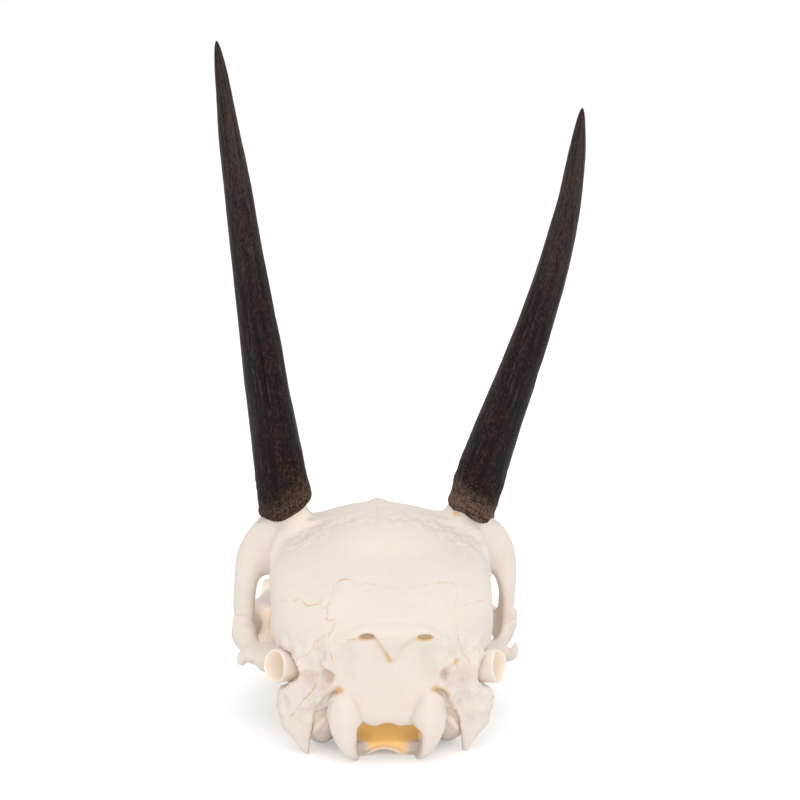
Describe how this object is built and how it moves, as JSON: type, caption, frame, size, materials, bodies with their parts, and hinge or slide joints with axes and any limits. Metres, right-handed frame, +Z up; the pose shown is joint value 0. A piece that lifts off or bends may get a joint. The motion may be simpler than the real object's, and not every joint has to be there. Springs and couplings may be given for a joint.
{
  "type": "steenbok skull",
  "caption": "Life-size skull of a small horned antelope without its lower jaw, resting on its cheek teeth and the base of the braincase.",
  "frame": {"origin": "on the floor, at the middle of the bounding box", "axes": "+Z up, +Y towards the muzzle, +X towards the animal's right side"},
  "size_m": [0.0897, 0.1379, 0.1756],
  "materials": {
    "bone": "dry, bleached bone, matte, with amber stains in its hollows and sutures",
    "tooth": "enamel, slightly glossy, darker between the lobes",
    "horn": "black-brown horn with fine lengthwise lines and a faint sheen"
  },
  "bodies": {
    "root": {"braincase": "bone", "face": "bone", "cheekbone_left": "bone", "cheekbone_right": "bone", "nasal_left": "bone", "nasal_right": "bone", "premaxilla_left": "bone", "premaxilla_right": "bone", "ear_bone_left": "bone", "ear_bone_right": "bone", "horn_left": "horn", "horn_right": "horn"}
  },
  "joints": []
}
